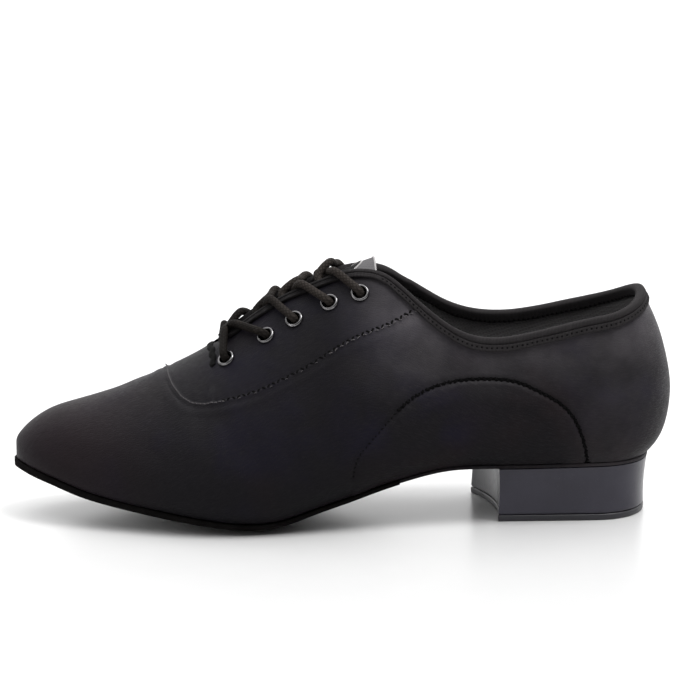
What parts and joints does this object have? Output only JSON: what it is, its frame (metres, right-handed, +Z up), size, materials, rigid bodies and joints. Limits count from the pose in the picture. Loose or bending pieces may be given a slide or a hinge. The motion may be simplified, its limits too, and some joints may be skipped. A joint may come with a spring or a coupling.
{
  "type": "dance oxford shoe",
  "caption": "Left ballroom dance oxford in black cloth, with a low block heel, a split suede sole, a bound collar and laced facings.",
  "frame": {"origin": "on the floor under the middle of the shoe's length and width", "axes": "+X from the toe towards the heel, +Y towards the medial side, +Z up"},
  "size_m": [0.29, 0.0993, 0.1146],
  "materials": {
    "upper_cloth": "matt black cotton satin with a soft sheen",
    "sole_suede": "dark suede, napped and matt",
    "waist_cloth": "black cloth wrapped over the waist and heel seat",
    "insole_lining": "dark padded lining, matt",
    "heel_lacquer": "dark slate lacquer, smooth",
    "top_piece_rubber": "hard dark rubber, satin",
    "tongue_lining": "grey lining cloth, matt",
    "binding_tape": "ribbed woven tape, stitched",
    "eyelet_metal": "black enamelled rings with a bright rim",
    "lace_cord": "round braided lace, matt"
  },
  "bodies": {
    "root": {"upper": "upper_cloth", "outsole": "sole_suede", "waist_cover": "waist_cloth", "insole": "insole_lining", "heel_block": "heel_lacquer", "heel_top_piece": "top_piece_rubber", "tongue": "tongue_lining", "collar_binding": "binding_tape", "eyelet_lateral_1": "eyelet_metal", "eyelet_lateral_2": "eyelet_metal", "eyelet_lateral_3": "eyelet_metal", "eyelet_lateral_4": "eyelet_metal", "eyelet_lateral_5": "eyelet_metal", "eyelet_medial_1": "eyelet_metal", "eyelet_medial_2": "eyelet_metal", "eyelet_medial_3": "eyelet_metal", "eyelet_medial_4": "eyelet_metal", "eyelet_medial_5": "eyelet_metal", "lace_crossing_1": "lace_cord", "lace_crossing_2": "lace_cord", "lace_crossing_3": "lace_cord", "lace_crossing_4": "lace_cord"}
  },
  "joints": []
}
